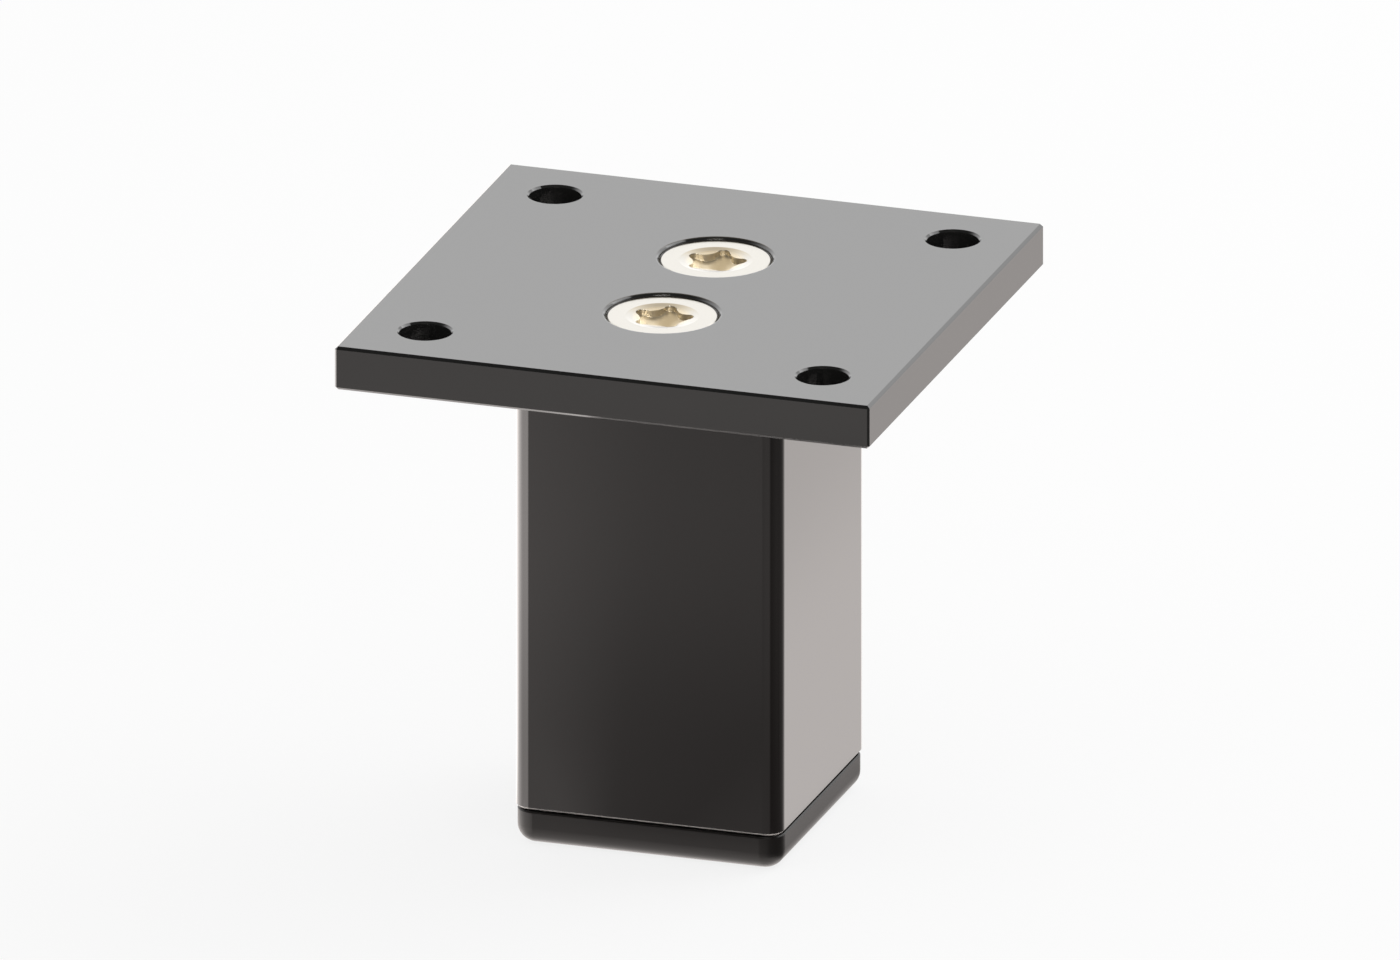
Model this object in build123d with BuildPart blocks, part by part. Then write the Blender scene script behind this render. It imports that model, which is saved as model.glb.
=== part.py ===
"""Short square furniture leg with a mounting plate.

A square extruded tube stands on a moulded end cap and carries a square plate. Two countersunk
screws pass through the plate into screw ports inside the tube, and four plain holes near the
plate's corners take the screws that fasten the leg to furniture.

Millimetres, +Z up. The origin is the centre of the cap's base, on the floor. The plate's front
edge faces -Y, and the two screws stand in line on the Y axis.
"""

import math
import os

from build123d import *

# Whole leg
total_height = 80.0

# Mounting plate
plate_side = 80.0
plate_thickness = 6.5
plate_corner_chamfer = 0.3
plate_edge_chamfer = 0.4
hole_pitch = 59.5
hole_diameter = 7.5
hole_rim_chamfer = 0.3

# Square tube, with the screw ports inside it
tube_side = 40.0
tube_wall = 2.0
tube_corner_radius = 2.5
tube_inner_radius = 0.5
tube_end_chamfer = 0.3
port_wall = 2.0
port_merge = 0.2
port_web = 8.0
port_core_diameter = 6.8
tap_runout = 3.0

# Countersunk screws
screw_diameter = 8.0
screw_length = 20.0
screw_tip_chamfer = 1.0
head_diameter = 15.8
head_angle = 90.0
head_land = 0.4
head_edge_chamfer = 0.15
head_sink = 0.4
thread_clearance = 0.05

# Drive recess in the screw heads
recess_lobes = 5
recess_lobe_radius = 4.45
recess_waist_radius = 3.2
recess_lobe_round = 1.0
recess_turn = 18.0
recess_rim_depth = 0.9
recess_floor_angle = 140.0
dish_radius = 5.25
dish_angle = 162.0

# Countersunk seats in the plate
shank_clearance = 0.3
mouth_clearance = 0.25
mouth_edge_chamfer = 0.3

# End cap
cap_inset = 0.05
cap_height = 5.5
cap_corner_radius = 3.0
cap_base_radius = 2.7
cap_rim_chamfer = 0.2
shadow_gap = 0.3
shadow_gap_depth = 1.0
cap_floor = 2.5
plug_height = 14.0
plug_wall = 1.6
plug_gap = 0.5
fin_count = 3
fin_thickness = 1.0
fin_lead = 0.4

# Levels and places that follow from the sizes above
plate_underside = total_height - plate_thickness
tube_length = plate_underside - cap_height
inner_side = tube_side - 2 * tube_wall
port_radius = screw_diameter / 2 + port_wall
screw_offset = inner_side / 2 - port_radius + port_merge
screw_rows = {"front_screw": -screw_offset, "rear_screw": screw_offset}
head_radius = head_diameter / 2
shank_radius = screw_diameter / 2
head_top = total_height - head_sink
cone_top = head_top - head_land
cone_slope = math.tan(math.radians(head_angle / 2))
screw_tip = head_top - screw_length
plug_top = cap_height + plug_height


def polar(radius, angle):
    """Point at a radius and an angle in degrees."""
    turn = math.radians(angle)
    return (radius * math.cos(turn), radius * math.sin(turn))


def upright_plane(y, z):
    """Level plane centred at y on the Y axis, at height z."""
    return Plane(origin=(0, y, z), x_dir=(1, 0, 0), z_dir=(0, 0, 1))


def section_plane(y):
    """Upright plane that faces the front, through y on the Y axis."""
    return Plane(origin=(0, y, 0), x_dir=(1, 0, 0), z_dir=(0, -1, 0))


def cavity_profile(wall_gap, port_gap):
    """Section of the tube's hollow between its ports, held back from walls and ports by the gaps."""
    side = inner_side - 2 * wall_gap
    web_reach = inner_side / 2 - screw_offset + port_radius
    with BuildSketch(mode=Mode.PRIVATE) as profile:
        RectangleRounded(side, side, tube_inner_radius)
        for y in screw_rows.values():
            with Locations((0, y)):
                Circle(port_radius + port_gap, mode=Mode.SUBTRACT)
            with Locations((0, y + math.copysign(web_reach / 2, y))):
                Rectangle(port_web + 2 * port_gap, web_reach, mode=Mode.SUBTRACT)
    return profile.sketch


def recess_outline():
    """Line of the drive recess: a round out at each lobe and a round in at each waist, all tangent."""
    step = 360 / recess_lobes
    half_turn = math.radians(step / 2)
    lobe_centre = recess_lobe_radius - recess_lobe_round
    gap_squared = lobe_centre**2 + recess_waist_radius**2 - recess_lobe_round**2
    gap_squared -= 2 * lobe_centre * recess_waist_radius * math.cos(half_turn)
    spread = recess_lobe_round - recess_waist_radius + lobe_centre * math.cos(half_turn)
    waist_round = gap_squared / (2 * spread)
    waist_centre = recess_waist_radius + waist_round

    # The two rounds touch on the line between their centres.
    share = recess_lobe_round / (recess_lobe_round + waist_round)
    touch_x = lobe_centre + share * (waist_centre * math.cos(half_turn) - lobe_centre)
    touch_y = share * waist_centre * math.sin(half_turn)
    touch_radius = math.hypot(touch_x, touch_y)
    touch_angle = math.degrees(math.atan2(touch_y, touch_x))

    with BuildLine() as outline:
        for lobe in range(recess_lobes):
            turn = recess_turn + lobe * step
            lobe_start = polar(touch_radius, turn - touch_angle)
            lobe_end = polar(touch_radius, turn + touch_angle)
            next_start = polar(touch_radius, turn + step - touch_angle)
            ThreePointArc(lobe_start, polar(recess_lobe_radius, turn), lobe_end)
            ThreePointArc(lobe_end, polar(recess_waist_radius, turn + step / 2), next_start)
    return outline.line


def drive_recess(y):
    """Hollow of the drive recess at y: lobed sides, and a floor that falls as a cone to the middle."""
    rim_level = head_top - recess_rim_depth
    floor_dip = recess_lobe_radius / math.tan(math.radians(recess_floor_angle / 2))
    with BuildPart(mode=Mode.PRIVATE) as hollow:
        with BuildSketch(upright_plane(y, head_top)):
            with BuildLine():
                add(recess_outline())
            make_face()
        extrude(amount=-recess_rim_depth - floor_dip)
        with BuildSketch(section_plane(y)):
            with BuildLine():
                Polyline(
                    (0, head_top),
                    (recess_lobe_radius, head_top),
                    (recess_lobe_radius, rim_level),
                    (0, rim_level - floor_dip),
                    close=True,
                )
            make_face()
        revolve(axis=Axis((0, y, 0), (0, 0, 1)), mode=Mode.INTERSECT)
    return hollow.part


def countersunk_screw(y):
    """Countersunk screw with its axis upright at y, its thread as a plain shank."""
    cone_foot = cone_top - (head_radius - shank_radius) / cone_slope
    dish_depth = dish_radius / math.tan(math.radians(dish_angle / 2))
    with BuildPart() as screw:
        with BuildSketch(section_plane(y)):
            with BuildLine():
                Polyline(
                    (0, screw_tip),
                    (shank_radius - screw_tip_chamfer, screw_tip),
                    (shank_radius, screw_tip + screw_tip_chamfer),
                    (shank_radius, cone_foot),
                    (head_radius, cone_top),
                    (head_radius, head_top - head_edge_chamfer),
                    (head_radius - head_edge_chamfer, head_top),
                    (0, head_top),
                    close=True,
                )
            make_face()
        revolve(axis=Axis((0, y, 0), (0, 0, 1)))

        # Shallow dish round the drive recess
        with BuildSketch(section_plane(y)):
            with BuildLine():
                Polyline((0, head_top), (dish_radius, head_top), (0, head_top - dish_depth), close=True)
            make_face()
        revolve(axis=Axis((0, y, 0), (0, 0, 1)), mode=Mode.SUBTRACT)

        add(drive_recess(y), mode=Mode.SUBTRACT)
    return screw


# Mounting plate
with BuildPart() as top_plate:
    with BuildSketch(Plane.XY.offset(plate_underside)):
        Rectangle(plate_side, plate_side)
    extrude(amount=plate_thickness)
    chamfer(top_plate.edges().filter_by(Axis.Z), plate_corner_chamfer)
    chamfer(top_plate.faces().filter_by(Axis.Z).edges(), plate_edge_chamfer)

    # Four plain holes for the screws that go up into the furniture
    with Locations(Plane.XY.offset(total_height)):
        with GridLocations(hole_pitch, hole_pitch, 2, 2):
            Hole(hole_diameter / 2)
    hole_rims = top_plate.edges().filter_by(GeomType.CIRCLE)
    hole_rims = hole_rims.filter_by(lambda rim: math.isclose(rim.radius, hole_diameter / 2))
    chamfer(hole_rims, hole_rim_chamfer)

    # Two countersunk seats, each with a short upright mouth above its cone
    mouth_radius = head_radius + mouth_clearance
    mouth_floor = cone_top + mouth_clearance / cone_slope
    with Locations(*[(0, y, mouth_floor) for y in screw_rows.values()]):
        CounterSinkHole(
            radius=shank_radius + shank_clearance,
            counter_sink_radius=mouth_radius,
            counter_sink_angle=head_angle,
        )
    with Locations(*[(0, y, total_height) for y in screw_rows.values()]):
        Hole(mouth_radius, depth=total_height - mouth_floor)
    mouth_rims = top_plate.edges().group_by(Axis.Z)[-1].filter_by(GeomType.CIRCLE)
    mouth_rims = mouth_rims.filter_by(lambda rim: math.isclose(rim.radius, mouth_radius))
    chamfer(mouth_rims, mouth_edge_chamfer)

# Square tube, one extrusion with its two screw ports
with BuildPart() as leg_tube:
    with BuildSketch(Plane.XY.offset(cap_height)):
        RectangleRounded(tube_side, tube_side, tube_corner_radius)
        add(cavity_profile(0, 0), mode=Mode.SUBTRACT)
        with Locations(*[(0, y) for y in screw_rows.values()]):
            Circle(port_core_diameter / 2, mode=Mode.SUBTRACT)
    extrude(amount=tube_length)

    # Tapped stretch of each port, past the screw's tip
    with Locations(*[(0, y, plate_underside) for y in screw_rows.values()]):
        Hole(shank_radius + thread_clearance, depth=plate_underside - screw_tip + tap_runout)

    # Broken edges round both sawn ends
    level_faces = leg_tube.faces().filter_by(Axis.Z).sort_by(Axis.Z)
    for end in (level_faces[0], level_faces[-1]):
        chamfer(end.outer_wire().edges(), tube_end_chamfer)

# Moulded end cap
with BuildPart() as foot_cap:
    cap_side = tube_side - 2 * cap_inset
    with BuildSketch():
        RectangleRounded(cap_side, cap_side, cap_corner_radius)
    extrude(amount=cap_height - shadow_gap)
    fillet(foot_cap.faces().sort_by(Axis.Z)[0].edges(), cap_base_radius)
    chamfer(foot_cap.faces().sort_by(Axis.Z)[-1].edges(), cap_rim_chamfer)

    # Step that the tube stands on, set back to leave a shadow gap round it
    step_side = tube_side - 2 * shadow_gap_depth
    with BuildSketch(Plane.XY.offset(cap_height - shadow_gap)):
        Rectangle(step_side, step_side)
    extrude(amount=shadow_gap)

    # Plug that goes up between the ports
    with BuildSketch(Plane.XY.offset(cap_height)):
        add(cavity_profile(plug_gap, plug_gap))
    extrude(amount=plug_height)

    # Thin fins that press on the tube's walls, each with a lead on its upper edge
    fin_pitch = plug_height / fin_count
    for fin in range(fin_count):
        fin_base = cap_height + (fin + 1) * fin_pitch - 2 * fin_thickness
        with BuildSketch(Plane.XY.offset(fin_base)):
            add(cavity_profile(0, plug_gap))
        extrude(amount=fin_thickness - fin_lead)
        with BuildSketch(Plane.XY.offset(fin_base + fin_thickness - fin_lead)):
            add(cavity_profile(0, plug_gap))
        with BuildSketch(Plane.XY.offset(fin_base + fin_thickness)):
            add(cavity_profile(plug_gap, plug_gap))
        loft()

    # Pocket that leaves the plug and the cap's floor as walls
    with BuildSketch(Plane.XY.offset(cap_floor)):
        add(cavity_profile(plug_gap + plug_wall, plug_gap + plug_wall))
    extrude(amount=plug_top - cap_floor, mode=Mode.SUBTRACT)

front_screw = countersunk_screw(screw_rows["front_screw"])
rear_screw = countersunk_screw(screw_rows["rear_screw"])

pieces = {
    "top_plate": top_plate,
    "leg_tube": leg_tube,
    "front_screw": front_screw,
    "rear_screw": rear_screw,
    "foot_cap": foot_cap,
}

os.makedirs("parts", exist_ok=True)
for name, piece in pieces.items():
    piece.part.label = name
    export_step(piece.part, f"parts/{name}.step")
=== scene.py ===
"""Dresses a short square furniture leg: coats, nickel screws with their threads, end cap and studio.

The solids give the leg its shape. This file adds the finish of each surface, cuts the threads that
the solids leave plain, and sets up a pale studio with a camera. Lengths are in metres, +Z is up,
and the leg stands on the floor at the origin with the front edge of its plate facing -Y.
"""

import math

import bmesh
import bpy
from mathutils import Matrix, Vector


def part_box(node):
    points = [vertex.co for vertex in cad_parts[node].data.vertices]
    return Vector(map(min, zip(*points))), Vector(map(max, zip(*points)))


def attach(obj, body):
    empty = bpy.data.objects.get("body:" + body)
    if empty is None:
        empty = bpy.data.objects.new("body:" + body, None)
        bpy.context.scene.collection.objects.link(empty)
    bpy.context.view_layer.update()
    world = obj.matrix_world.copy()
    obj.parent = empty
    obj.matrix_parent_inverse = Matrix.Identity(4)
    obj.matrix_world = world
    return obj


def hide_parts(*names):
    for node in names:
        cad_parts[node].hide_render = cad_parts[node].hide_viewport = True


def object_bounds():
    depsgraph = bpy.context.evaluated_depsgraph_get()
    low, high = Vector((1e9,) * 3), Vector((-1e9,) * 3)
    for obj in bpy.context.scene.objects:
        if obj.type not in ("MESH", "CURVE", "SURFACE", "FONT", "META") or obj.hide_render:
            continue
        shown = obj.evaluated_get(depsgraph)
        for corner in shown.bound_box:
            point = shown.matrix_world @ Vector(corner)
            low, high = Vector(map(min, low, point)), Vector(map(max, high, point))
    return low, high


bl_info = {
    "name": "Square Leg Dresser",
    "version": (1, 0, 0),
    "blender": (4, 5, 0),
    "location": "3D View > Sidebar > Square Leg",
    "description": "Coats, screw threads, end cap and studio for a square furniture leg",
    "category": "Object",
}

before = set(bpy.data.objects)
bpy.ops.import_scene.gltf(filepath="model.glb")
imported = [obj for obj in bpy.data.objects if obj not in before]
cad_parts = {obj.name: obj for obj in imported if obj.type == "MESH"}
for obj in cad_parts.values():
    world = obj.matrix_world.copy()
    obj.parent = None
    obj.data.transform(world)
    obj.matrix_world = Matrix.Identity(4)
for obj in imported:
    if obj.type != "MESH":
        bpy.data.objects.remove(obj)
cad_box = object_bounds()

MM = 0.001
BODY = "root"
SCREWS = ("front_screw", "rear_screw")
WHITE = (1, 1, 1, 1)

# Size of the photograph, and the place in it of the middle of the plate's top, in pixels
VIEW_PIXELS = (1400, 960)
TOP_CENTRE_PIXELS = (689, 285)
CAMERA_DISTANCE = 1.0
CLIP_RANGE = (0.01, 20.0)

# Half the floor's width, how far it lies under the leg, and the height that the lamps face
FLOOR_REACH = 3.0
FLOOR_DROP = 0.02 * MM
LAMP_AIM = 50 * MM

# What gloss sees of the room, in degrees: heights between which the walls turn into the ceiling,
# height and radii of the canopy behind the leg and of the awning over the camera, and heights
# between which the floor far away turns into the floor close by
WALL_EDGE = (28, 52)
CANOPY_HEIGHT = 60
CANOPY_RADII = (38, 20)
AWNING_HEIGHT = 52
AWNING_RADII = (18, 8)
STEEP_EDGE = (-35, -50)
# Cosines of the angle from the room's back, between which its front turns into its back
FRONT_EDGE = (-0.35, 0.35)

# Light that gloss picks up below the horizon, by azimuth in degrees from the front to the right
GLOSS_BY_AZIMUTH = (
    (-180, 1.15),
    (-140, 2.0),
    (-110, 4.0),
    (-85, 4.7),
    (-60, 4.0),
    (-30, 4.8),
    (-22, 2.0),
    (-18, 1.35),
    (0, 1.3),
    (28, 1.15),
    (38, 0.35),
    (95, 0.28),
    (120, 0.25),
    (135, 0.35),
    (148, 0.8),
    (162, 1.38),
    (180, 1.15),
)

# Painted shadow of the leg on the floor as gloss sees it: the share of that light that passes
# the floor in front of the foot, by azimuth of the place there
PAINTED_SHADOW_BY_AZIMUTH = (
    (-180, 1.0),
    (-26, 1.0),
    (-21, 0.78),
    (-16, 0.55),
    (-10, 0.5),
    (0, 0.45),
    (8, 0.5),
    (40, 0.6),
    (70, 1.0),
    (180, 1.0),
)

# The same share of painted shadow close in front of the leg, painted shade far in front of it, and
# painted shade on the leg's right where the cap, the tube's upper end and the plate mirror the floor
NEAR_PAINTED_SHADOW = 0.68
FAR_PAINTED_SHADE = 0.62
CAP_SIDE_PAINTED_SHADE = 0.8
TUBE_SIDE_PAINTED_SHADE = 0.86
PLATE_SIDE_PAINTED_SHADE = 0.92

# Places on the floor, from the leg's axis, between which those parts of the painted shadow and shade
# fade in or out
FOOT_EDGE = (34 * MM, 26 * MM)
NEAR_EDGE = (60 * MM, 160 * MM)
FAR_EDGE = (215 * MM, 235 * MM)
BEHIND_EDGE = (-15 * MM, 0.0)
SIDE_FRONT = -19 * MM
SIDE_EDGE = (20 * MM, 20.6 * MM)
CAP_EDGE = (24 * MM, 25.5 * MM)
CAP_BACK_EDGE = (26 * MM, 31 * MM)
TUBE_EDGE = (46 * MM, 74 * MM)
PLATE_EDGE = (84 * MM, 96 * MM)

# Thread profile as shares of half a pitch, and where the thread runs out, in pitches from the head
CREST_FLAT = 0.125
ROOT_FLAT = 0.25
RUN_OUT = (0.5, 1.5)

# Depths under a head's flat top between which the finish of the stamped recess comes in
STAMP_DEPTHS = (0.1 * MM, 0.35 * MM)

# Limits for joining and creasing meshes
WELD = 0.002 * MM
CREASE = math.radians(2)
SHARP_THREAD = math.radians(35)


class CoatFinish:
    """What the two black coats have in common."""

    roughness: bpy.props.FloatProperty(
        name="Roughness",
        description="Blur of what the coat reflects",
        subtype="FACTOR",
        min=0.0,
        max=1.0,
        default=0.1,
    )
    gloss_swing: bpy.props.FloatProperty(
        name="Gloss swing",
        description="How far the roughness drifts from place to place",
        min=0.0,
        max=1.0,
        default=0.03,
    )
    tone_range: bpy.props.FloatProperty(
        name="Tone range",
        description="How far the colour may drift, as a share of it",
        min=0.0,
        max=1.0,
        default=0.2,
    )
    grain_size: bpy.props.FloatProperty(
        name="Peel size",
        description="Width of one bump of the coat's orange peel",
        unit="LENGTH",
        subtype="DISTANCE",
        default=0.7 * MM,
    )
    grain_depth: bpy.props.FloatProperty(
        name="Peel depth",
        description="Height of the coat's orange peel",
        unit="LENGTH",
        subtype="DISTANCE",
        default=0.0005 * MM,
    )


class PlateCoat(CoatFinish, bpy.types.PropertyGroup):
    """Satin black coat of the mounting plate, in one layer."""

    colour: bpy.props.FloatVectorProperty(
        name="Colour",
        description="Colour of the plate's coat under its gloss",
        subtype="COLOR",
        size=3,
        min=0.0,
        max=1.0,
        default=(0.015, 0.0148, 0.0142),
    )
    layer_ior: bpy.props.FloatProperty(
        name="Coat IOR",
        description="Refractive index of the plate's coat",
        min=1.0,
        max=2.0,
        default=1.6,
    )
    edge_round: bpy.props.FloatProperty(
        name="Edge round",
        description="Radius to which the coat rounds an edge",
        unit="LENGTH",
        subtype="DISTANCE",
        default=0.03 * MM,
    )
    mouth_round: bpy.props.FloatProperty(
        name="Mouth round",
        description="Radius of the coat on the rims of the two countersunk mouths, where it pools",
        unit="LENGTH",
        subtype="DISTANCE",
        default=0.3 * MM,
    )
    mouth_reach: bpy.props.FloatProperty(
        name="Mouth reach",
        description="How far outside a screw's head the coat is rounder",
        unit="LENGTH",
        subtype="DISTANCE",
        default=0.8 * MM,
    )


class TubeCoat(CoatFinish, bpy.types.PropertyGroup):
    """Gloss black coat of the tube: a dark layer under a clear one."""

    colour: bpy.props.FloatVectorProperty(
        name="Colour",
        description="Colour of the tube's coat under its gloss",
        subtype="COLOR",
        size=3,
        min=0.0,
        max=1.0,
        default=(0.008, 0.0055, 0.005),
    )
    layer_ior: bpy.props.FloatProperty(
        name="Layer IOR",
        description="Refractive index of each of the coat's two layers",
        min=1.0,
        max=2.0,
        default=1.36,
    )
    edge_round: bpy.props.FloatProperty(
        name="Edge round",
        description="Radius to which the coat rounds an edge",
        unit="LENGTH",
        subtype="DISTANCE",
        default=0.1 * MM,
    )
    bare_colour: bpy.props.FloatVectorProperty(
        name="Bare metal",
        description="Colour of the bare metal on the broken edges of the tube's sawn ends",
        subtype="COLOR",
        size=3,
        min=0.0,
        max=1.0,
        default=(0.42, 0.41, 0.4),
    )
    bare_roughness: bpy.props.FloatProperty(
        name="Bare roughness",
        description="Blur of what the bare metal reflects",
        subtype="FACTOR",
        min=0.0,
        max=1.0,
        default=0.45,
    )
    bare_width: bpy.props.FloatProperty(
        name="Bare width",
        description="How far the bare metal reaches from each end of the tube",
        unit="LENGTH",
        subtype="DISTANCE",
        default=0.28 * MM,
    )


class ScrewFinish(bpy.types.PropertyGroup):
    """Nickel plate and thread of the countersunk screws."""

    colour: bpy.props.FloatVectorProperty(
        name="Nickel",
        description="Reflection colour of the nickel plate",
        subtype="COLOR",
        size=3,
        min=0.0,
        max=1.0,
        default=(0.39, 0.375, 0.344),
    )
    roughness: bpy.props.FloatProperty(
        name="Roughness",
        description="Blur of what the nickel reflects",
        subtype="FACTOR",
        min=0.0,
        max=1.0,
        default=0.16,
    )
    gloss_swing: bpy.props.FloatProperty(
        name="Gloss swing",
        description="How far the roughness drifts from place to place",
        min=0.0,
        max=1.0,
        default=0.05,
    )
    tone_range: bpy.props.FloatProperty(
        name="Tone range",
        description="How far the colour may drift, as a share of it",
        min=0.0,
        max=1.0,
        default=0.03,
    )
    grain_size: bpy.props.FloatProperty(
        name="Grain size",
        description="Width of one grain of the plated surface",
        unit="LENGTH",
        subtype="DISTANCE",
        default=0.3 * MM,
    )
    grain_depth: bpy.props.FloatProperty(
        name="Grain depth",
        description="Height of the grain",
        unit="LENGTH",
        subtype="DISTANCE",
        default=0.0004 * MM,
    )
    edge_round: bpy.props.FloatProperty(
        name="Edge round",
        description="Radius to which the plating rounds an edge",
        unit="LENGTH",
        subtype="DISTANCE",
        default=0.1 * MM,
    )
    recess_colour: bpy.props.FloatVectorProperty(
        name="Stamped nickel",
        description="Warmer, duller nickel inside the stamped drive recess",
        subtype="COLOR",
        size=3,
        min=0.0,
        max=1.0,
        default=(0.64, 0.57, 0.44),
    )
    recess_roughness: bpy.props.FloatProperty(
        name="Stamped roughness",
        description="Blur of what the nickel reflects inside the drive recess",
        subtype="FACTOR",
        min=0.0,
        max=1.0,
        default=0.38,
    )
    diameter: bpy.props.FloatProperty(
        name="Thread diameter",
        description="Diameter over the thread's crests",
        unit="LENGTH",
        subtype="DISTANCE",
        default=8.0 * MM,
    )
    head_height: bpy.props.FloatProperty(
        name="Head height",
        description="Height of the countersunk head, from the shank to its flat top",
        unit="LENGTH",
        subtype="DISTANCE",
        default=4.3 * MM,
    )
    tip_bevel: bpy.props.FloatProperty(
        name="Tip bevel",
        description="Width and height of the bevel at the screw's tip",
        unit="LENGTH",
        subtype="DISTANCE",
        default=1.0 * MM,
    )
    pitch: bpy.props.FloatProperty(
        name="Thread pitch",
        description="Rise of the thread in one turn",
        unit="LENGTH",
        subtype="DISTANCE",
        default=1.25 * MM,
    )
    thread_depth: bpy.props.FloatProperty(
        name="Thread depth",
        description="Height of the thread above its root",
        unit="LENGTH",
        subtype="DISTANCE",
        default=0.68 * MM,
    )
    rows_per_pitch: bpy.props.IntProperty(
        name="Rows per pitch",
        description="Rows of faces in one turn of the thread",
        min=6,
        max=32,
        default=16,
    )


class CapFinish(bpy.types.PropertyGroup):
    """Moulded black plastic of the end cap."""

    colour: bpy.props.FloatVectorProperty(
        name="Plastic",
        description="Colour of the moulded plastic",
        subtype="COLOR",
        size=3,
        min=0.0,
        max=1.0,
        default=(0.010, 0.0085, 0.008),
    )
    roughness: bpy.props.FloatProperty(
        name="Roughness",
        description="Matt finish of the moulded plastic",
        subtype="FACTOR",
        min=0.0,
        max=1.0,
        default=0.32,
    )
    gloss_swing: bpy.props.FloatProperty(
        name="Gloss swing",
        description="How far the roughness drifts from place to place",
        min=0.0,
        max=1.0,
        default=0.06,
    )
    tone_range: bpy.props.FloatProperty(
        name="Tone range",
        description="How far the colour may drift, as a share of it",
        min=0.0,
        max=1.0,
        default=0.15,
    )
    grain_size: bpy.props.FloatProperty(
        name="Grain size",
        description="Width of one grain of the mould's spark finish",
        unit="LENGTH",
        subtype="DISTANCE",
        default=0.12 * MM,
    )
    grain_depth: bpy.props.FloatProperty(
        name="Grain depth",
        description="Height of the grain",
        unit="LENGTH",
        subtype="DISTANCE",
        default=0.004 * MM,
    )
    edge_round: bpy.props.FloatProperty(
        name="Edge round",
        description="Radius to which the mould rounds an edge",
        unit="LENGTH",
        subtype="DISTANCE",
        default=0.05 * MM,
    )
    ior: bpy.props.FloatProperty(
        name="IOR",
        description="Refractive index of the plastic's matt skin",
        min=1.0,
        max=2.0,
        default=1.3,
    )


class StudioSettings(bpy.types.PropertyGroup):
    """Camera, floor and light."""

    azimuth: bpy.props.FloatProperty(
        name="Camera azimuth",
        description="Turn of the camera round the leg from its front towards its right",
        unit="ROTATION",
        subtype="ANGLE",
        default=math.radians(18.1),
    )
    elevation: bpy.props.FloatProperty(
        name="Camera elevation",
        description="Height of the camera above the horizon",
        unit="ROTATION",
        subtype="ANGLE",
        default=math.radians(20.1),
    )
    view_width: bpy.props.FloatProperty(
        name="View width",
        description="Width of what the parallel camera sees",
        unit="LENGTH",
        subtype="DISTANCE",
        default=199.1 * MM,
    )
    floor_colour: bpy.props.FloatVectorProperty(
        name="Floor",
        description="Colour of the floor and backdrop",
        subtype="COLOR",
        size=3,
        min=0.0,
        max=1.0,
        default=(0.16, 0.16, 0.16),
    )
    floor_glow: bpy.props.FloatProperty(
        name="Floor glow",
        description="Share of the floor's brightness that no shadow takes away",
        min=0.0,
        max=1.0,
        default=0.83,
    )
    room_level: bpy.props.FloatProperty(
        name="Room level",
        description="Strength of the even light from all round",
        min=0.0,
        max=2.0,
        default=0.7,
    )
    horizon_level: bpy.props.FloatProperty(
        name="Horizon level",
        description="Brightness of the room's lower half in gloss",
        min=0.0,
        max=4.0,
        default=1.98,
    )
    ceiling_level: bpy.props.FloatProperty(
        name="Ceiling level",
        description="Brightness of the room's ceiling in gloss",
        min=0.0,
        max=4.0,
        default=0.05,
    )
    front_level: bpy.props.FloatProperty(
        name="Front level",
        description="Brightness in gloss of the room's lower half on the camera's side",
        min=0.0,
        max=4.0,
        default=0.2,
    )
    awning_share: bpy.props.FloatProperty(
        name="Awning share",
        description="Brightness of the small warm awning over the camera, as a share of the canopy's",
        min=0.0,
        max=4.0,
        default=1.5,
    )
    canopy_level: bpy.props.FloatProperty(
        name="Canopy level",
        description="Brightness in gloss of the warm canopy above and behind the leg",
        min=0.0,
        max=4.0,
        default=0.9,
    )
    canopy_colour: bpy.props.FloatVectorProperty(
        name="Canopy",
        description="Colour of the warm canopy above and behind the leg",
        subtype="COLOR",
        size=3,
        min=0.0,
        max=1.0,
        default=(1.0, 0.88, 0.68),
    )
    floor_tone: bpy.props.FloatVectorProperty(
        name="Floor tone",
        description="Warm tone of the light that gloss picks up from under the horizon",
        subtype="COLOR",
        size=3,
        min=0.0,
        max=1.0,
        default=(1.0, 0.94, 0.91),
    )
    near_floor_level: bpy.props.FloatProperty(
        name="Near floor level",
        description="Brightness in gloss of the floor close under an edge",
        min=0.0,
        max=6.0,
        default=2.8,
    )


class LegSettings(bpy.types.PropertyGroup):
    """All settings of the square leg."""

    plate: bpy.props.PointerProperty(type=PlateCoat)
    tube: bpy.props.PointerProperty(type=TubeCoat)
    screws: bpy.props.PointerProperty(type=ScrewFinish)
    cap: bpy.props.PointerProperty(type=CapFinish)
    studio: bpy.props.PointerProperty(type=StudioSettings)


def add_node(tree, kind, **inputs):
    """New node in a tree, with the values of its named inputs."""
    node = tree.nodes.new(kind)
    for name, value in inputs.items():
        node.inputs[name.replace("_", " ")].default_value = value
    return node


def wire(tree, *pairs):
    """Links each (output, input) pair of a tree."""
    for output, target in pairs:
        tree.links.new(output, target)


def new_group(name, kind, inputs, outputs):
    """Node group with named sockets, and its two end nodes."""
    group = bpy.data.node_groups.new(name, kind)
    for label, socket, default in inputs:
        made = group.interface.new_socket(name=label, in_out="INPUT", socket_type=socket)
        if default is not None:
            made.default_value = default
    for label, socket in outputs:
        group.interface.new_socket(name=label, in_out="OUTPUT", socket_type=socket)
    return group, group.nodes.new("NodeGroupInput"), group.nodes.new("NodeGroupOutput")


def math_node(tree, operation, first, second=None, kind="ShaderNodeMath"):
    """Output of a maths node whose inputs are sockets or plain values."""
    node = tree.nodes.new(kind)
    node.operation = operation
    for index, value in enumerate((first, second)):
        if isinstance(value, bpy.types.NodeSocket):
            tree.links.new(value, node.inputs[index])
        elif value is not None:
            node.inputs[index].default_value = value
    return next(socket for socket in node.outputs if socket.enabled)


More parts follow.
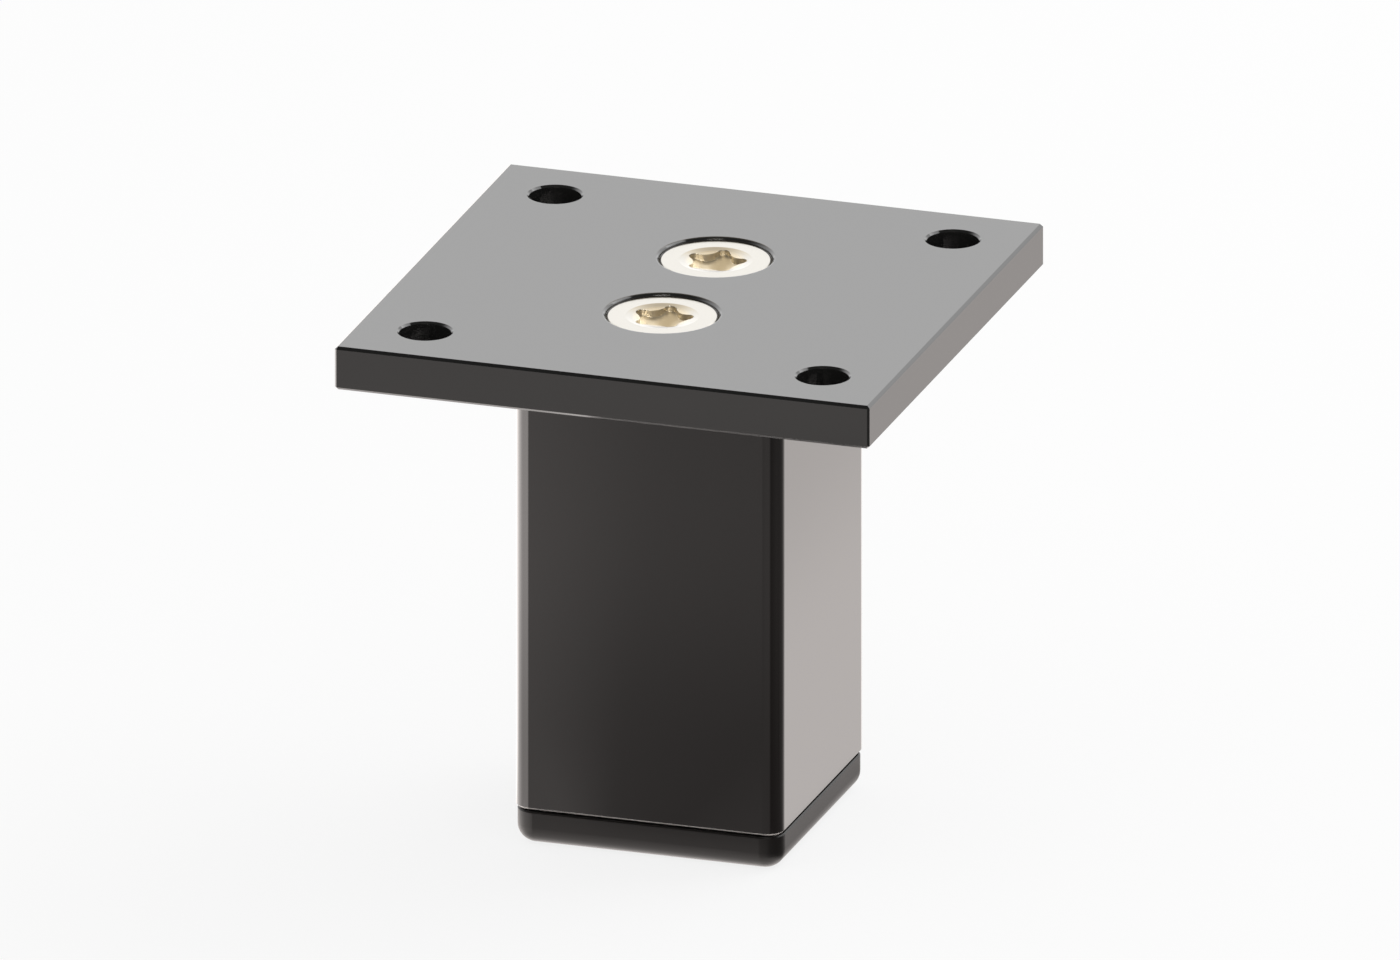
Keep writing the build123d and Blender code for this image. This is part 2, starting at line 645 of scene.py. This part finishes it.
def vector_node(tree, operation, first, second=None):
    """Output of a vector maths node whose inputs are sockets or plain vectors."""
    return math_node(tree, operation, first, second, "ShaderNodeVectorMath")


def axes(tree, vector):
    """X, Y and Z of a vector."""
    split = tree.nodes.new("ShaderNodeSeparateXYZ")
    tree.links.new(vector, split.inputs[0])
    return tuple(split.outputs)


def surface_axes(tree):
    """X, Y and Z of a place on a surface, in the leg's own frame."""
    place = tree.nodes.new("ShaderNodeTexCoord")
    return axes(tree, place.outputs["Object"])


def fade(tree, value, start, stop, kind="SMOOTHSTEP"):
    """Rise from 0 to 1 while a value goes from start to stop, smooth unless the kind is LINEAR."""
    node = tree.nodes.new("ShaderNodeMapRange")
    node.interpolation_type = kind
    node.inputs["From Min"].default_value = start
    node.inputs["From Max"].default_value = stop
    tree.links.new(value, node.inputs["Value"])
    return node.outputs[0]


def mix_node(tree, factor, first, second, kind="FLOAT"):
    """Output of a mix of two numbers, or of two colours with kind RGBA."""
    node = tree.nodes.new("ShaderNodeMix")
    node.data_type = kind
    tree.links.new(factor, node.inputs["Factor"])
    sockets = [socket for socket in node.inputs if socket.enabled and socket.name in ("A", "B")]
    for socket, value in zip(sockets, (first, second)):
        if isinstance(value, bpy.types.NodeSocket):
            tree.links.new(value, socket)
        else:
            socket.default_value = value
    return next(socket for socket in node.outputs if socket.enabled)


def by_azimuth(tree, place, stops):
    """Value that follows stops of azimuth and level round the Z axis, for a direction or a place."""
    x, y, _ = axes(tree, place)
    turn = math_node(tree, "ARCTAN2", x, math_node(tree, "MULTIPLY", y, -1.0))
    ramp = tree.nodes.new("ShaderNodeValToRGB")
    tree.links.new(fade(tree, turn, -math.pi, math.pi, "LINEAR"), ramp.inputs[0])
    peak = max(level for _, level in stops)
    elements = ramp.color_ramp.elements
    while len(elements) < len(stops):
        elements.new(0.5)
    for element, (azimuth, level) in zip(elements, stops):
        element.position = (azimuth + 180) / 360
        element.color = (level / peak, level / peak, level / peak, 1)
    return math_node(tree, "MULTIPLY", ramp.outputs["Color"], peak)


def surface_grain():
    """Group for a fine uneven skin: a small grain as height, and a slow drift of gloss and tone."""
    if "surface grain" in bpy.data.node_groups:
        return bpy.data.node_groups["surface grain"]
    group, start, end = new_group(
        "surface grain",
        "ShaderNodeTree",
        (
            ("Place", "NodeSocketVector", None),
            ("Grains per metre", "NodeSocketFloat", 1000.0),
            ("Drifts per metre", "NodeSocketFloat", 40.0),
            ("Roughness", "NodeSocketFloat", 0.1),
            ("Roughness swing", "NodeSocketFloat", 0.02),
            ("Tone swing", "NodeSocketFloat", 0.1),
        ),
        (
            ("Height", "NodeSocketFloat"),
            ("Roughness", "NodeSocketFloat"),
            ("Tone", "NodeSocketFloat"),
        ),
    )
    grain = add_node(group, "ShaderNodeTexNoise", Detail=2.0, Roughness=0.5)
    drift = add_node(group, "ShaderNodeTexNoise", Detail=3.0, Roughness=0.6)
    wire(
        group,
        (start.outputs["Place"], grain.inputs["Vector"]),
        (start.outputs["Grains per metre"], grain.inputs["Scale"]),
        (start.outputs["Place"], drift.inputs["Vector"]),
        (start.outputs["Drifts per metre"], drift.inputs["Scale"]),
    )
    centred = math_node(group, "SUBTRACT", drift.outputs[0], 0.5)
    swing = math_node(group, "MULTIPLY", centred, start.outputs["Roughness swing"])
    rough = math_node(group, "ADD", swing, start.outputs["Roughness"])
    tone = math_node(group, "MULTIPLY", centred, start.outputs["Tone swing"])
    wire(
        group,
        (grain.outputs[0], end.inputs["Height"]),
        (rough, end.inputs["Roughness"]),
        (math_node(group, "ADD", tone, 0.5), end.inputs["Tone"]),
    )
    return group


def finish_material(name, finish):
    """Principled material whose gloss, tone and fine height come from the grain group."""
    material = bpy.data.materials.new(name)
    material.use_nodes = True
    tree = material.node_tree
    shader = tree.nodes["Principled BSDF"]
    place = tree.nodes.new("ShaderNodeTexCoord")
    grain = tree.nodes.new("ShaderNodeGroup")
    grain.node_tree = surface_grain()
    grain.inputs["Grains per metre"].default_value = 1 / finish.grain_size
    grain.inputs["Roughness"].default_value = finish.roughness
    grain.inputs["Roughness swing"].default_value = finish.gloss_swing
    dark, light = (
        (*(min(part * share, 1) for part in finish.colour), 1)
        for share in (1 - finish.tone_range, 1 + finish.tone_range)
    )
    bump = add_node(tree, "ShaderNodeBump", Strength=1.0, Distance=finish.grain_depth)
    edge = add_node(tree, "ShaderNodeBevel", Radius=finish.edge_round)
    edge.name = "edge round"
    edge.samples = 8
    wire(
        tree,
        (edge.outputs[0], bump.inputs["Normal"]),
        (place.outputs["Object"], grain.inputs["Place"]),
        (mix_node(tree, grain.outputs["Tone"], dark, light, "RGBA"), shader.inputs["Base Color"]),
        (grain.outputs["Roughness"], shader.inputs["Roughness"]),
        (grain.outputs["Height"], bump.inputs["Height"]),
        (bump.outputs["Normal"], shader.inputs["Normal"]),
    )
    return material, shader


def coat_material(name, coat):
    """Black coat on metal, and its Principled shader."""
    material, shader = finish_material(name, coat)
    shader.inputs["IOR"].default_value = coat.layer_ior
    return material, shader


def dress(node, material):
    """Gives a solid's own mesh its finish."""
    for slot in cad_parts[node].material_slots:
        slot.material = material


def overlay(tree, shader, mask, colour, roughness):
    """Gives a shader another colour and roughness where a mask is 1."""
    for name, value, kind in (("Base Color", (*colour, 1), "RGBA"), ("Roughness", roughness, "FLOAT")):
        plain = shader.inputs[name].links[0].from_socket
        tree.links.new(mix_node(tree, mask, plain, value, kind), shader.inputs[name])


def bare_ends(material, shader, coat):
    """Lets the bare metal of the sawn tube show on the broken edges at both its ends."""
    tree = material.node_tree
    low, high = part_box("leg_tube")
    middle = (low[2] + high[2]) / 2
    _, _, height = surface_axes(tree)
    distance = math_node(tree, "ABSOLUTE", math_node(tree, "SUBTRACT", height, middle))
    bare = math_node(tree, "GREATER_THAN", distance, high[2] - middle - coat.bare_width)
    overlay(tree, shader, bare, coat.bare_colour, coat.bare_roughness)
    wire(
        tree,
        (bare, shader.inputs["Metallic"]),
        (math_node(tree, "SUBTRACT", 1.0, bare), shader.inputs["Coat Weight"]),
    )


def round_mouths(material, coat):
    """Rounds the coat more on the rims of the two screw mouths, which stand alike about Y = 0."""
    tree = material.node_tree
    low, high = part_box(SCREWS[1])
    head_radius = (high[0] - low[0]) / 2
    x, y, _ = surface_axes(tree)
    along = math_node(tree, "SUBTRACT", math_node(tree, "ABSOLUTE", y), (low[1] + high[1]) / 2)
    squares = [math_node(tree, "MULTIPLY", side, side) for side in (x, along)]
    distance = math_node(tree, "SQRT", math_node(tree, "ADD", *squares))
    mouth = math_node(tree, "LESS_THAN", distance, head_radius + coat.mouth_reach)
    radius = mix_node(tree, mouth, coat.edge_round, coat.mouth_round)
    tree.links.new(radius, tree.nodes["edge round"].inputs["Radius"])


class SQUARELEG_OT_coat_plate(bpy.types.Operator):
    """Coat the mounting plate satin black"""

    bl_idname = "square_leg.coat_plate"
    bl_label = "Coat Plate"

    def execute(self, context):
        coat = context.scene.square_leg.plate
        material, _ = coat_material("plate coat", coat)
        round_mouths(material, coat)
        dress("top_plate", material)
        return {"FINISHED"}


class SQUARELEG_OT_coat_tube(bpy.types.Operator):
    """Coat the square tube gloss black"""

    bl_idname = "square_leg.coat_tube"
    bl_label = "Coat Tube"

    def execute(self, context):
        coat = context.scene.square_leg.tube
        material, shader = coat_material("tube coat", coat)
        shader.inputs["Coat Roughness"].default_value = coat.roughness
        shader.inputs["Coat IOR"].default_value = coat.layer_ior
        bare_ends(material, shader, coat)
        dress("leg_tube", material)
        return {"FINISHED"}


def nickel_material(settings):
    """Bright nickel plate, duller and warmer on the stamped metal inside the drive recess."""
    material, shader = finish_material("nickel plate", settings)
    shader.inputs["Metallic"].default_value = 1.0
    tree = material.node_tree
    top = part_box(SCREWS[0])[1][2]
    start, end = STAMP_DEPTHS
    _, _, height = surface_axes(tree)
    stamped = fade(tree, height, top - start, top - end)
    overlay(tree, shader, stamped, settings.recess_colour, settings.recess_roughness)
    return material


def thread_tree():
    """Geometry tree that turns a tube of faces into a threaded shank with a bevelled tip."""
    group, start, end = new_group(
        "screw thread",
        "GeometryNodeTree",
        (
            ("Geometry", "NodeSocketGeometry", None),
            ("Segments", "NodeSocketInt", 64),
            ("Rows", "NodeSocketInt", 200),
            ("Radius", "NodeSocketFloat", 4 * MM),
            ("Pitch", "NodeSocketFloat", 1.25 * MM),
            ("Thread Depth", "NodeSocketFloat", 0.68 * MM),
            ("Tip Bevel", "NodeSocketFloat", 1 * MM),
            ("Tip Level", "NodeSocketFloat", 0.0),
            ("Top Level", "NodeSocketFloat", 16 * MM),
            ("Axis", "NodeSocketVector", None),
            ("Material", "NodeSocketMaterial", None),
        ),
        (("Geometry", "NodeSocketGeometry"),),
    )
    size = start.outputs
    length = math_node(group, "SUBTRACT", size["Top Level"], size["Tip Level"])
    tube = group.nodes.new("GeometryNodeMeshCylinder")
    tube.fill_type = "NONE"
    wire(
        group,
        (size["Segments"], tube.inputs["Vertices"]),
        (size["Rows"], tube.inputs["Side Segments"]),
        (size["Radius"], tube.inputs["Radius"]),
        (length, tube.inputs["Depth"]),
    )
    place = group.nodes.new("GeometryNodeInputPosition")
    x, y, z = axes(group, place.outputs[0])
    above_tip = math_node(group, "ADD", z, math_node(group, "MULTIPLY", length, 0.5))

    # The groove is deepest half a pitch from the crest, with flats at crest and root.
    turns = math_node(group, "DIVIDE", math_node(group, "ARCTAN2", y, x), 2 * math.pi)
    rise = math_node(group, "DIVIDE", above_tip, size["Pitch"])
    phase = math_node(group, "FRACT", math_node(group, "SUBTRACT", rise, turns))
    doubled = math_node(group, "MULTIPLY", phase, 2.0)
    from_crest = math_node(group, "ABSOLUTE", math_node(group, "SUBTRACT", doubled, 1.0))
    flank = fade(group, from_crest, CREST_FLAT, 1 - ROOT_FLAT, "LINEAR")

    # The thread runs out under the head.
    below_top = math_node(group, "SUBTRACT", length, above_tip)
    pitches_down = math_node(group, "DIVIDE", below_top, size["Pitch"])
    groove = math_node(group, "MULTIPLY", flank, fade(group, pitches_down, *RUN_OUT, "LINEAR"))
    cut = math_node(group, "MULTIPLY", groove, size["Thread Depth"])
    thread_radius = math_node(group, "SUBTRACT", size["Radius"], cut)
    tip_radius = math_node(group, "SUBTRACT", size["Radius"], size["Tip Bevel"])
    bevel_radius = math_node(group, "ADD", tip_radius, above_tip)
    radius = math_node(group, "MINIMUM", thread_radius, bevel_radius)
    share = math_node(group, "DIVIDE", radius, size["Radius"])

    joined = group.nodes.new("ShaderNodeCombineXYZ")
    moved = group.nodes.new("GeometryNodeSetPosition")
    realised = group.nodes.new("GeometryNodeRealizeInstances")
    finish = group.nodes.new("GeometryNodeSetMaterial")
    wire(
        group,
        (math_node(group, "MULTIPLY", x, share), joined.inputs["X"]),
        (math_node(group, "MULTIPLY", y, share), joined.inputs["Y"]),
        (math_node(group, "ADD", above_tip, size["Tip Level"]), joined.inputs["Z"]),
        (tube.outputs["Mesh"], moved.inputs["Geometry"]),
        (vector_node(group, "ADD", joined.outputs[0], size["Axis"]), moved.inputs["Position"]),
        (moved.outputs[0], realised.inputs["Geometry"]),
        (realised.outputs[0], finish.inputs["Geometry"]),
        (size["Material"], finish.inputs["Material"]),
        (finish.outputs[0], end.inputs["Geometry"]),
    )
    return group


def mesh_from_tree(name, tree, values):
    """Plain mesh that a geometry tree makes with named values."""
    holder = bpy.data.objects.new(name, bpy.data.meshes.new(name))
    bpy.context.scene.collection.objects.link(holder)
    modifier = holder.modifiers.new(tree.name, "NODES")
    modifier.node_group = tree
    inputs = (item for item in tree.interface.items_tree if item.in_out == "INPUT")
    sockets = {item.name: item.identifier for item in inputs}
    for label, value in values.items():
        modifier[sockets[label]] = value
    graph = bpy.context.evaluated_depsgraph_get()
    mesh = bpy.data.meshes.new_from_object(holder.evaluated_get(graph), depsgraph=graph)
    holder.modifiers.remove(modifier)
    bpy.data.objects.remove(holder)
    return mesh


def mark_creases(work, normals):
    """Keeps the solid's creases: an edge is sharp where the normals on its two sides differ."""
    for edge in work.edges:
        if len(edge.link_loops) != 2:
            continue
        first, second = edge.link_loops
        ends = (
            (first[normals], second.link_loop_next[normals]),
            (first.link_loop_next[normals], second[normals]),
        )
        edge.smooth = all(one.angle(other, 0.0) < CREASE for one, other in ends)


def screw_head(name, foot):
    """The head of a solid screw as a merged mesh, cut off at the foot of its cone."""
    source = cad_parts[name].data
    work = bmesh.new()
    work.from_mesh(source)
    normals = work.loops.layers.float_vector.new("solid normal")
    corners = source.corner_normals
    for face in work.faces:
        for loop in face.loops:
            loop[normals] = corners[loop.index].vector
    bmesh.ops.remove_doubles(work, verts=work.verts, dist=WELD)
    mark_creases(work, normals)
    work.loops.layers.float_vector.remove(normals)
    shank = [vert for vert in work.verts if vert.co.z < foot - WELD]
    bmesh.ops.delete(work, geom=shank, context="VERTS")
    return work


def threaded_screw(name, settings, tree, material):
    """Screw with a cut thread, in place of the solid one with its plain shank."""
    low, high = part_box(name)
    foot = high[2] - settings.head_height
    work = screw_head(name, foot)
    rim = [edge for edge in work.edges if edge.is_boundary]
    rows = round((foot - low[2]) / settings.pitch * settings.rows_per_pitch)
    shank = mesh_from_tree(
        name + "_shank",
        tree,
        {
            "Segments": len(rim),
            "Rows": rows,
            "Radius": settings.diameter / 2,
            "Pitch": settings.pitch,
            "Thread Depth": settings.thread_depth,
            "Tip Bevel": settings.tip_bevel,
            "Tip Level": low[2],
            "Top Level": foot,
            "Axis": ((low[0] + high[0]) / 2, (low[1] + high[1]) / 2, 0.0),
            "Material": material,
        },
    )
    work.from_mesh(shank)
    bpy.data.meshes.remove(shank)
    bmesh.ops.remove_doubles(work, verts=work.verts, dist=WELD)
    bmesh.ops.holes_fill(work, edges=[edge for edge in work.edges if edge.is_boundary], sides=0)
    open_edges = sum(not edge.is_manifold for edge in work.edges)
    if open_edges:
        raise RuntimeError(f"{name} has {open_edges} open edges")
    bmesh.ops.recalc_face_normals(work, faces=work.faces)
    for face in work.faces:
        face.smooth = True
    for edge in work.edges:
        if edge.calc_face_angle(0.0) > SHARP_THREAD:
            edge.smooth = False

    mesh = bpy.data.meshes.new(name + "_threaded")
    work.to_mesh(mesh)
    work.free()
    mesh.materials.clear()
    mesh.materials.append(material)
    piece = bpy.data.objects.new(name + "_threaded", mesh)
    bpy.context.scene.collection.objects.link(piece)
    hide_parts(name)
    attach(piece, BODY)
    return piece


class SQUARELEG_OT_plate_screws(bpy.types.Operator):
    """Thread the countersunk screws and plate them with nickel"""

    bl_idname = "square_leg.plate_screws"
    bl_label = "Plate Screws"

    def execute(self, context):
        settings = context.scene.square_leg.screws
        nickel = nickel_material(settings)
        tree = thread_tree()
        for name in SCREWS:
            threaded_screw(name, settings, tree, nickel)
        return {"FINISHED"}


class SQUARELEG_OT_mould_cap(bpy.types.Operator):
    """Give the end cap its moulded plastic"""

    bl_idname = "square_leg.mould_cap"
    bl_label = "Mould Cap"

    def execute(self, context):
        cap = context.scene.square_leg.cap
        material, shader = finish_material("cap plastic", cap)
        shader.inputs["IOR"].default_value = cap.ior
        dress("foot_cap", material)
        return {"FINISHED"}


def compass(azimuth, elevation):
    """Unit vector towards an azimuth, from the front towards the right, and an elevation."""
    return Vector(
        (
            math.sin(azimuth) * math.cos(elevation),
            -math.cos(azimuth) * math.cos(elevation),
            math.sin(elevation),
        )
    )


def add_camera(scene, studio):
    """Parallel camera at the photograph's angle."""
    data = bpy.data.cameras.new("camera")
    data.type = "ORTHO"
    data.ortho_scale = studio.view_width
    camera = bpy.data.objects.new("camera", data)
    scene.collection.objects.link(camera)
    back = compass(studio.azimuth, studio.elevation)
    right = Vector((math.cos(studio.azimuth), math.sin(studio.azimuth), 0))
    up = back.cross(right)
    width, height = VIEW_PIXELS
    across, down = TOP_CENTRE_PIXELS
    pixel = studio.view_width / width
    top_centre = Vector((0, 0, cad_box[1].z))
    aim = top_centre + right * (width / 2 - across) * pixel - up * (height / 2 - down) * pixel
    camera.location = aim + back * CAMERA_DISTANCE
    camera.rotation_mode = "QUATERNION"
    camera.rotation_quaternion = (-back).to_track_quat("-Z", "Y")
    data.clip_start, data.clip_end = CLIP_RANGE
    scene.camera = camera


def towards(tree, direction, azimuth, elevation):
    """Cosine of the angle between a direction and the one with an azimuth and an elevation."""
    return vector_node(tree, "DOT_PRODUCT", direction, compass(azimuth, elevation))


def height_fade(tree, height, start, stop):
    """Rise while the height of a direction goes from one angle over the horizon to another."""
    return fade(tree, height, math.sin(math.radians(start)), math.sin(math.radians(stop)))


def soft_disc(tree, direction, azimuth, elevation, radii):
    """Round patch about a direction, which rises from its outer radius to its inner one."""
    outer, inner = (math.cos(math.radians(radius)) for radius in radii)
    return fade(tree, towards(tree, direction, azimuth, math.radians(elevation)), outer, inner)


def add_world(scene, studio):
    """White to the camera, even on matt surfaces, and in gloss a pale room with a dark ceiling."""
    world = bpy.data.worlds.new("studio")
    world.use_nodes = True
    scene.world = world
    tree = world.node_tree
    output = tree.nodes["World Output"]
    white = tree.nodes["Background"]
    white.inputs["Color"].default_value = WHITE
    even = add_node(tree, "ShaderNodeBackground", Strength=studio.room_level)
    even.inputs["Color"].default_value = WHITE
    room = tree.nodes.new("ShaderNodeBackground")

    # Above the horizon gloss sees pale walls, a dark ceiling, a warm canopy and a warm awning.
    coordinates = tree.nodes.new("ShaderNodeTexCoord")
    direction = coordinates.outputs["Generated"]
    _, _, height = axes(tree, direction)
    back = studio.azimuth + math.pi
    behind = fade(tree, towards(tree, direction, back, 0.0), *FRONT_EDGE)
    around = mix_node(tree, behind, studio.front_level, studio.horizon_level)
    walls = mix_node(tree, height_fade(tree, height, *WALL_EDGE), around, studio.ceiling_level)
    canopy = soft_disc(tree, direction, back, CANOPY_HEIGHT, CANOPY_RADII)
    awning = soft_disc(tree, direction, studio.azimuth, AWNING_HEIGHT, AWNING_RADII)
    shaded = math_node(tree, "MULTIPLY", awning, studio.awning_share)
    warm = math_node(tree, "MULTIPLY", math_node(tree, "MAXIMUM", canopy, shaded), studio.canopy_level)
    above = math_node(tree, "MAXIMUM", walls, warm)

    # Below it gloss sees the floor far away, and steeply down the floor close by.
    distant = by_azimuth(tree, direction, GLOSS_BY_AZIMUTH)
    steep = height_fade(tree, height, *STEEP_EDGE)
    floor = mix_node(tree, steep, distant, studio.near_floor_level)
    below = math_node(tree, "LESS_THAN", height, 0.0)
    warmth = math_node(tree, "MAXIMUM", canopy, awning)
    upper_tone = mix_node(tree, warmth, WHITE, (*studio.canopy_colour, 1), "RGBA")
    tone = mix_node(tree, below, upper_tone, (*studio.floor_tone, 1), "RGBA")
    wire(
        tree,
        (mix_node(tree, below, above, floor), room.inputs["Strength"]),
        (tone, room.inputs["Color"]),
    )
    path = tree.nodes.new("ShaderNodeLightPath")
    gloss = tree.nodes.new("ShaderNodeMixShader")
    seen = tree.nodes.new("ShaderNodeMixShader")
    wire(
        tree,
        (path.outputs["Is Glossy Ray"], gloss.inputs[0]),
        (even.outputs[0], gloss.inputs[1]),
        (room.outputs[0], gloss.inputs[2]),
        (path.outputs["Is Camera Ray"], seen.inputs[0]),
        (gloss.outputs[0], seen.inputs[1]),
        (white.outputs[0], seen.inputs[2]),
        (seen.outputs[0], output.inputs["Surface"]),
    )


def front_painted_shadow(tree, place):
    """Painted shadow in front of the leg: the share of the light in gloss that passes the floor there,
    all of it close to the foot.
    """
    _, y, _ = axes(tree, place)
    distance = vector_node(tree, "LENGTH", place)
    bright = math_node(tree, "MAXIMUM", fade(tree, distance, *NEAR_EDGE), fade(tree, y, *BEHIND_EDGE))
    nearby = mix_node(tree, bright, NEAR_PAINTED_SHADOW, 1.0)
    patch = math_node(tree, "MULTIPLY", by_azimuth(tree, place, PAINTED_SHADOW_BY_AZIMUTH), nearby)
    in_front = math_node(tree, "LESS_THAN", y, 0.0)
    far = math_node(tree, "MULTIPLY", fade(tree, distance, *FAR_EDGE), in_front)
    across, along, _ = axes(tree, vector_node(tree, "ABSOLUTE", place))
    foot = fade(tree, math_node(tree, "MAXIMUM", across, along), *FOOT_EDGE)
    return mix_node(tree, foot, mix_node(tree, far, patch, FAR_PAINTED_SHADE), 1.0)


def side_painted_shade(tree, place):
    """Painted shade on the leg's right, as the same share: less beside the cap, all further out, then
    less again.
    """
    x, y, _ = axes(tree, place)
    beside = math_node(tree, "GREATER_THAN", y, SIDE_FRONT)
    beside = math_node(tree, "MULTIPLY", beside, fade(tree, x, *SIDE_EDGE))
    past_cap = math_node(tree, "MAXIMUM", fade(tree, x, *CAP_EDGE), fade(tree, y, *CAP_BACK_EDGE))
    low = mix_node(tree, past_cap, CAP_SIDE_PAINTED_SHADE, 1.0)
    middle = mix_node(tree, fade(tree, x, *TUBE_EDGE), 1.0, TUBE_SIDE_PAINTED_SHADE)
    high = mix_node(tree, fade(tree, x, *PLATE_EDGE), middle, PLATE_SIDE_PAINTED_SHADE)
    return mix_node(tree, beside, 1.0, math_node(tree, "MULTIPLY", low, high))


def add_floor(scene, studio):
    """Wide pale floor that keeps the leg's soft shadow, and lets gloss see through to the room, dimmed
    by a painted shadow and painted shade.
    """
    corners = [(x * FLOOR_REACH, y * FLOOR_REACH) for x, y in ((-1, -1), (1, -1), (1, 1), (-1, 1))]
    mesh = bpy.data.meshes.new("floor")
    mesh.from_pydata([(x, y, -FLOOR_DROP) for x, y in corners], [], [(0, 1, 2, 3)])
    floor = bpy.data.objects.new("floor", mesh)
    scene.collection.objects.link(floor)

    material = bpy.data.materials.new("floor paper")
    material.use_nodes = True
    mesh.materials.append(material)
    tree = material.node_tree
    tree.nodes.remove(tree.nodes["Principled BSDF"])
    output = tree.nodes["Material Output"]
    paper = tree.nodes.new("ShaderNodeBsdfDiffuse")
    paper.inputs["Color"].default_value = (*studio.floor_colour, 1)
    glow = tree.nodes.new("ShaderNodeEmission")
    clear = tree.nodes.new("ShaderNodeBsdfTransparent")
    coordinates = tree.nodes.new("ShaderNodeTexCoord")
    place = coordinates.outputs["Object"]
    # Gloss sees the room through the floor, dimmed where a shadow and shade are painted round the leg
    gloss_painted_shadow = math_node(tree, "MULTIPLY", front_painted_shadow(tree, place), side_painted_shade(tree, place))
    path = tree.nodes.new("ShaderNodeLightPath")
    rays = (path.outputs["Is Camera Ray"], path.outputs["Is Transmission Ray"])
    level = math_node(tree, "MULTIPLY", math_node(tree, "MAXIMUM", *rays), studio.floor_glow)
    both = tree.nodes.new("ShaderNodeAddShader")
    gloss = tree.nodes.new("ShaderNodeMixShader")
    wire(
        tree,
        (level, glow.inputs["Strength"]),
        (paper.outputs[0], both.inputs[0]),
        (glow.outputs[0], both.inputs[1]),
        (gloss_painted_shadow, clear.inputs["Color"]),
        (path.outputs["Is Glossy Ray"], gloss.inputs[0]),
        (both.outputs[0], gloss.inputs[1]),
        (clear.outputs[0], gloss.inputs[2]),
        (gloss.outputs[0], output.inputs["Surface"]),
    )


def add_lamp(scene, name, azimuth, elevation, distance, width, height, radiance):
    """Soft rectangular lamp of an even brightness that faces the leg. Angles are in degrees."""
    data = bpy.data.lights.new(name, "AREA")
    data.shape = "RECTANGLE"
    data.size = width
    data.size_y = height
    data.energy = radiance * math.pi * width * height
    lamp = bpy.data.objects.new(name, data)
    scene.collection.objects.link(lamp)
    outward = compass(math.radians(azimuth), math.radians(elevation))
    lamp.location = Vector((0, 0, LAMP_AIM)) + outward * distance
    lamp.rotation_mode = "QUATERNION"
    lamp.rotation_quaternion = (-outward).to_track_quat("-Z", "Y")
    lamp.visible_camera = False
    return lamp


class SQUARELEG_OT_set_stage(bpy.types.Operator):
    """Set up the camera, the pale floor and the light"""

    bl_idname = "square_leg.set_stage"
    bl_label = "Set Stage"

    def execute(self, context):
        scene = context.scene
        studio = scene.square_leg.studio
        scene.view_settings.view_transform = "Standard"
        add_camera(scene, studio)
        add_world(scene, studio)
        add_floor(scene, studio)
        add_lamp(
            scene,
            "key lamp",
            azimuth=140,
            elevation=45,
            distance=1.2,
            width=0.9,
            height=0.6,
            radiance=3.0,
        )
        glint = add_lamp(
            scene,
            "glint strip",
            azimuth=18,
            elevation=20,
            distance=1.0,
            width=0.5,
            height=0.1,
            radiance=30.0,
        )
        glint.visible_diffuse = False
        return {"FINISHED"}


class SQUARELEG_PT_sidebar(bpy.types.Panel):
    """Steps that dress the square leg"""

    bl_idname = "SQUARELEG_PT_sidebar"
    bl_label = "Square Leg"
    bl_space_type = "VIEW_3D"
    bl_region_type = "UI"
    bl_category = "Square Leg"

    def draw(self, context):
        for operator in OPERATORS:
            self.layout.operator(operator.bl_idname)


OPERATORS = (
    SQUARELEG_OT_coat_plate,
    SQUARELEG_OT_coat_tube,
    SQUARELEG_OT_plate_screws,
    SQUARELEG_OT_mould_cap,
    SQUARELEG_OT_set_stage,
)
CLASSES = (
    PlateCoat,
    TubeCoat,
    ScrewFinish,
    CapFinish,
    StudioSettings,
    LegSettings,
    *OPERATORS,
    SQUARELEG_PT_sidebar,
)


def register():
    """Adds the classes, and the settings to every scene."""
    for cls in CLASSES:
        bpy.utils.register_class(cls)
    bpy.types.Scene.square_leg = bpy.props.PointerProperty(type=LegSettings)


def unregister():
    """Takes the settings and the classes away again."""
    del bpy.types.Scene.square_leg
    for cls in reversed(CLASSES):
        bpy.utils.unregister_class(cls)


def main():
    """Dresses the leg."""
    register()
    bpy.ops.square_leg.coat_plate()
    bpy.ops.square_leg.coat_tube()
    bpy.ops.square_leg.plate_screws()
    bpy.ops.square_leg.mould_cap()
    bpy.ops.square_leg.set_stage()


if __name__ == "__main__":
    main()
